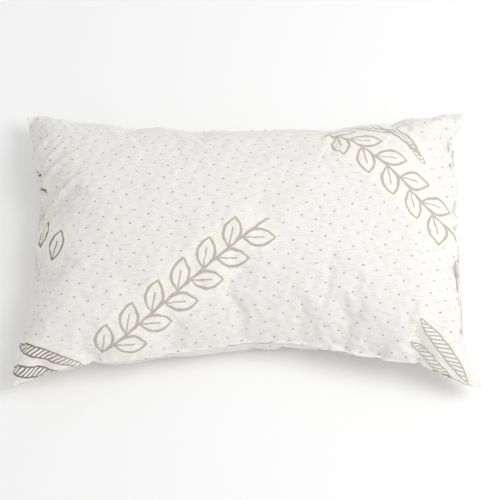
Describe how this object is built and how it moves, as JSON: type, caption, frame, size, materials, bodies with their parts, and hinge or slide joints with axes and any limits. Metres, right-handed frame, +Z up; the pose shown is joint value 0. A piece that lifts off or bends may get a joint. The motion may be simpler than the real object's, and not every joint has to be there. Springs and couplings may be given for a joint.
{
  "type": "bed pillow",
  "caption": "Rectangular bed pillow with a knitted cover that zips off along one short side, over a sewn liner filled with shredded foam.",
  "frame": {"origin": "on the surface the pillow lies on, below the middle of its box", "axes": "+X along the pillow's length towards the zipped short side, +Y across its width, +Z up through its thickness"},
  "size_m": [0.732, 0.48, 0.1652],
  "materials": {
    "knitted_cover": "double-knit jacquard in off-white, with small grey-taupe dots and leaf motifs",
    "sewing_thread": "spun polyester thread",
    "zip_tape": "woven polyester tape",
    "nylon_coil": "drawn nylon filament, satin",
    "nickel": "nickel-plated zinc, tumbled",
    "satin_label": "woven satin ribbon, blank",
    "liner_cloth": "plain-woven polyester cotton",
    "foam": "shredded open-cell viscoelastic foam"
  },
  "bodies": {
    "pillow": {"cover_top_panel": "knitted_cover", "cover_bottom_panel": "knitted_cover", "cover_seam_thread": "sewing_thread", "zip_tape_upper": "zip_tape", "zip_tape_lower": "zip_tape", "zip_coil_upper": "nylon_coil", "zip_coil_lower": "nylon_coil", "zip_stitching_upper": "sewing_thread", "zip_stitching_lower": "sewing_thread", "zip_top_stop_upper": "nickel", "zip_top_stop_lower": "nickel", "zip_bottom_stop": "nickel", "care_label": "satin_label", "liner_top_panel": "liner_cloth", "liner_bottom_panel": "liner_cloth", "liner_seam_thread": "sewing_thread", "foam_fill": "foam"},
    "slider": {"zip_slider_body": "nickel"},
    "pull": {"zip_pull_tab": "nickel"}
  },
  "joints": [
    {"name": "zip_slide", "type": "slide", "parent": "pillow", "child": "slider", "axis": [0, -1, 0], "range_m": [0, 0.313]},
    {"name": "pull_swing", "type": "hinge", "parent": "slider", "child": "pull", "pos_m": [0.3387, 0.157, 0.064], "axis": [0, 0, 1], "range_deg": [0, 150]}
  ]
}
